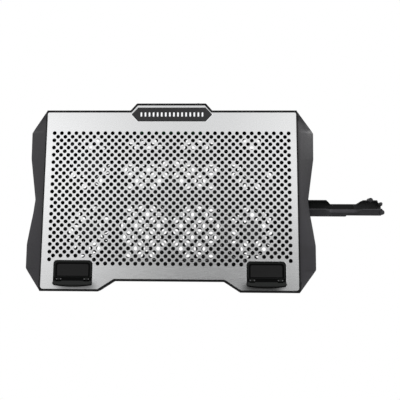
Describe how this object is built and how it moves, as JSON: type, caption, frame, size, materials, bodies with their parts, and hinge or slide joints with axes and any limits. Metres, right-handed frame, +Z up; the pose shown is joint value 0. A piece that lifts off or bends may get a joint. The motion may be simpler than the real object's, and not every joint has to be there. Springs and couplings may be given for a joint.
{
  "type": "laptop cooling pad",
  "caption": "Laptop cooling pad with perforated metal deck, side wings, corner fans, flip-up front stoppers, swing-out phone holder and folding rear stand.",
  "frame": {"origin": "desk level, under the centre of the hole field of the deck", "axes": "+X towards the phone holder's side (the user's right), +Y towards the rear with the badge, +Z up"},
  "size_m": [0.4891, 0.2588, 0.03],
  "materials": {
    "black_plastic": "matte moulded",
    "board": "solder mask",
    "button_plastic": "gloss",
    "copper": "enamelled copper windings",
    "fan_plastic": "semi gloss moulded",
    "graphite_plastic": "satin, fine moulded grain, slight violet tint",
    "holder_plastic": "satin",
    "light_guide": "milky translucent",
    "rubber": "matte",
    "satin_silver": "satin, fine horizontal brushing",
    "smoked_lens": "satin gloss",
    "steel": "plated",
    "stopper_plastic": "satin, fine grain",
    "wire_jacket": "satin"
  },
  "bodies": {
    "casing": {"top_plate": "satin_silver", "top_frame": "graphite_plastic", "bottom_cover": "black_plastic", "badge_lens": "smoked_lens", "badge_light_guide": "light_guide", "phone_holder_pin": "steel", "control_board": "board", "wheel_post": "steel", "fan_frame_front_left": "fan_plastic", "fan_stator_front_left": "copper", "fan_frame_front_right": "fan_plastic", "fan_stator_front_right": "copper", "fan_frame_rear_left": "fan_plastic", "fan_stator_rear_left": "copper", "fan_frame_rear_right": "fan_plastic", "fan_stator_rear_right": "copper", "stopper_tray_left": "black_plastic", "stopper_pin_left": "steel", "stand_pin_left": "steel", "usb_socket_left": "steel", "fan_cable_front_left": "wire_jacket", "foot_front_left": "rubber", "fan_cable_rear_left": "wire_jacket", "foot_rear_left": "rubber", "stopper_tray_right": "black_plastic", "stopper_pin_right": "steel", "stand_pin_right": "steel", "usb_socket_right": "steel", "fan_cable_front_right": "wire_jacket", "foot_front_right": "rubber", "fan_cable_rear_right": "wire_jacket", "foot_rear_right": "rubber", "case_screw_1": "steel", "case_screw_2": "steel", "case_screw_3": "steel", "case_screw_4": "steel", "case_screw_5": "steel", "case_screw_6": "steel"},
    "stopper_left": {"stopper_left": "stopper_plastic"},
    "stopper_right": {"stopper_right": "stopper_plastic"},
    "phone_holder": {"phone_holder": "holder_plastic"},
    "rear_stand": {"rear_stand": "black_plastic", "stand_tip_left": "rubber", "stand_tip_right": "rubber"},
    "speed_wheel": {"speed_wheel": "black_plastic"},
    "power_button": {"power_button": "button_plastic"},
    "fan_rotor_front_left": {"fan_rotor_front_left": "fan_plastic"},
    "fan_rotor_front_right": {"fan_rotor_front_right": "fan_plastic"},
    "fan_rotor_rear_left": {"fan_rotor_rear_left": "fan_plastic"},
    "fan_rotor_rear_right": {"fan_rotor_rear_right": "fan_plastic"}
  },
  "joints": [
    {"name": "fan_spin_front_left", "type": "hinge", "parent": "casing", "child": "fan_rotor_front_left", "pos_m": [-0.111, -0.0435, 0.0149], "axis": [0, 0, 1], "continuous": true},
    {"name": "fan_spin_front_right", "type": "hinge", "parent": "casing", "child": "fan_rotor_front_right", "pos_m": [0.111, -0.0435, 0.0149], "axis": [0, 0, 1], "continuous": true},
    {"name": "fan_spin_rear_left", "type": "hinge", "parent": "casing", "child": "fan_rotor_rear_left", "pos_m": [-0.111, 0.0435, 0.0149], "axis": [0, 0, 1], "continuous": true},
    {"name": "fan_spin_rear_right", "type": "hinge", "parent": "casing", "child": "fan_rotor_rear_right", "pos_m": [0.111, 0.0435, 0.0149], "axis": [0, 0, 1], "continuous": true},
    {"name": "stopper_hinge_left", "type": "hinge", "parent": "casing", "child": "stopper_left", "pos_m": [-0.128, -0.109, 0.0262], "axis": [1, 0, 0], "range_deg": [0, 95]},
    {"name": "stopper_hinge_right", "type": "hinge", "parent": "casing", "child": "stopper_right", "pos_m": [0.128, -0.109, 0.0262], "axis": [1, 0, 0], "range_deg": [0, 95]},
    {"name": "phone_holder_swing", "type": "hinge", "parent": "casing", "child": "phone_holder", "pos_m": [0.176, -0.011, 0.009], "axis": [0, 0, 1], "range_deg": [0, 90]},
    {"name": "rear_stand_hinge", "type": "hinge", "parent": "casing", "child": "rear_stand", "pos_m": [0, 0.103, 0.0031], "axis": [1, 0, 0], "range_deg": [0, 70]},
    {"name": "speed_wheel_turn", "type": "hinge", "parent": "casing", "child": "speed_wheel", "pos_m": [0.0366, 0.1266, 0.0175], "axis": [0, 0, 1], "range_deg": [0, 270]},
    {"name": "power_button_press", "type": "slide", "parent": "casing", "child": "power_button", "axis": [0, -1, 0], "range_m": [0, 0.0008]}
  ]
}
